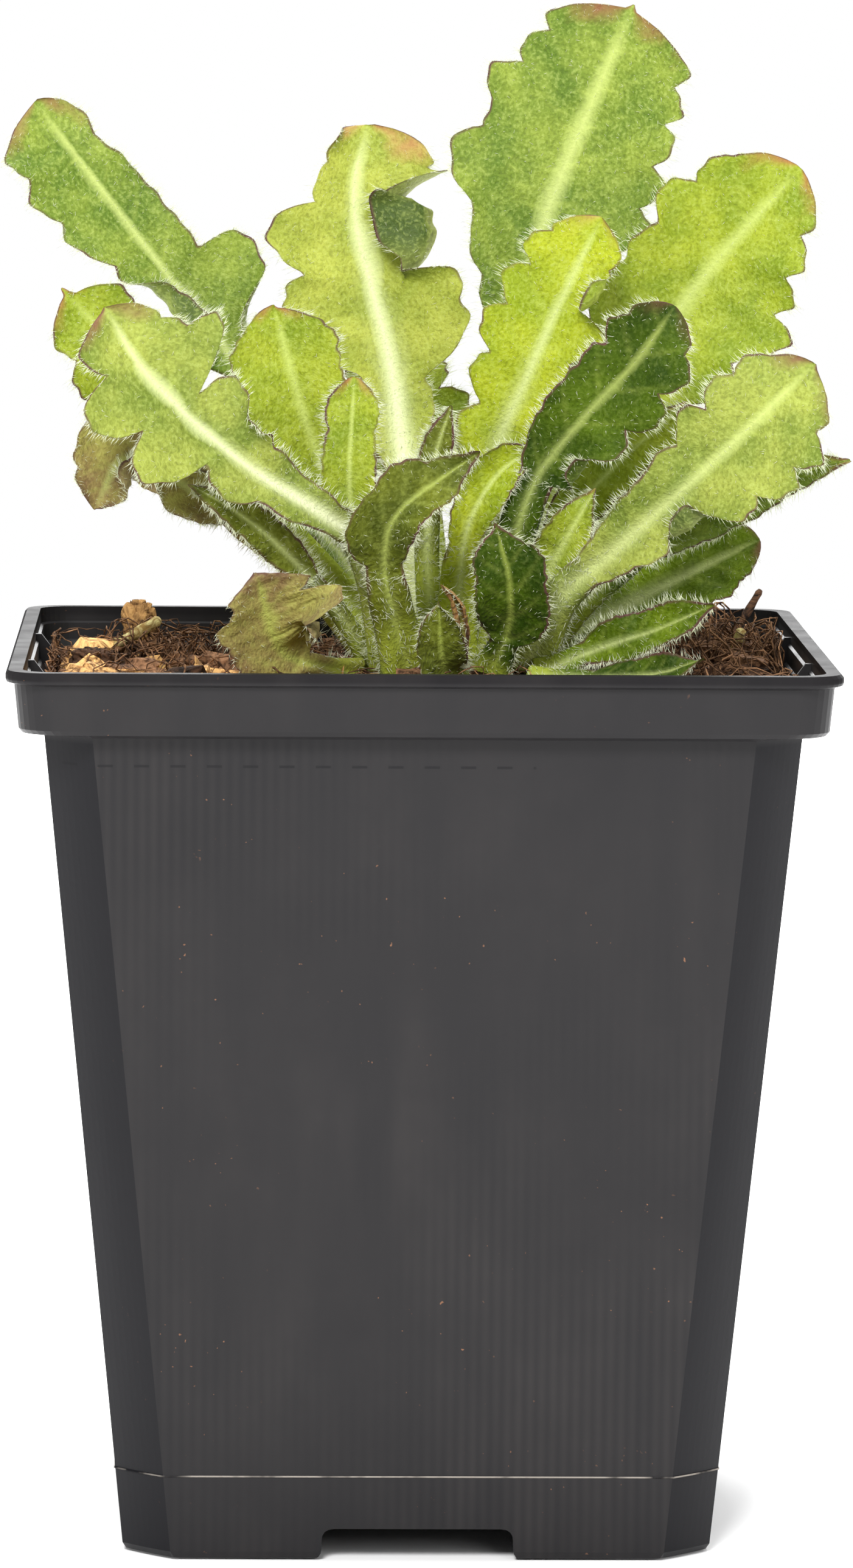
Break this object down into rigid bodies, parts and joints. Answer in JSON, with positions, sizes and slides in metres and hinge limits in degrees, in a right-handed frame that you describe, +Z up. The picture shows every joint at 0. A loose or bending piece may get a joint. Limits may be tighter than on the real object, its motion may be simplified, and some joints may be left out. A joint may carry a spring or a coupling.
{
  "type": "potted blanket flower",
  "caption": "Leafy blanket flower plant growing in a tapered square nursery pot of bark-rich potting mix.",
  "frame": {"origin": "on the floor, at the middle of the pot's base", "axes": "+Z up, -Y towards the side the plant is seen from, +X to the right of that view"},
  "size_m": [0.0943, 0.09, 0.1696],
  "materials": {
    "pot_plastic": "satin",
    "potting_mix": "matte",
    "crown": "matte",
    "leaf": "satin",
    "old_leaf": "matte",
    "bark": "matte",
    "straw": "matte"
  },
  "bodies": {
    "root": {"pot": "pot_plastic", "potting_mix": "potting_mix", "crown": "crown", "leaf_far_left": "leaf", "leaf_tall_pale": "leaf", "leaf_tall_right": "leaf", "leaf_right_broad": "leaf", "leaf_centre_yellow": "leaf", "leaf_dark_right": "leaf", "leaf_right_grey": "leaf", "leaf_far_right": "leaf", "leaf_right_narrow": "leaf", "leaf_right_pale": "leaf", "leaf_right_round": "leaf", "leaf_right_low": "leaf", "leaf_right_soil": "leaf", "leaf_left_round": "leaf", "leaf_left_behind": "leaf", "leaf_left_lobed": "leaf", "leaf_left_curled": "old_leaf", "leaf_left_under": "leaf", "leaf_small_oval": "leaf", "leaf_inner_bright": "leaf", "leaf_inner_tip": "leaf", "leaf_front_folded": "leaf", "leaf_front_curled": "leaf", "leaf_front_oval": "leaf", "leaf_withered": "old_leaf", "leaf_old_mottled": "old_leaf", "leaf_back_left": "leaf", "leaf_back_middle": "leaf", "leaf_back_right": "leaf", "leaf_back_low": "leaf", "bark_chip_tall": "bark", "bark_chip_dark": "bark", "bark_chip_front": "bark", "bark_chip_back": "bark", "bark_chip_right": "bark", "dried_leaf": "old_leaf", "dead_stem": "straw", "straw_stick": "straw", "twig": "bark"}
  },
  "joints": []
}
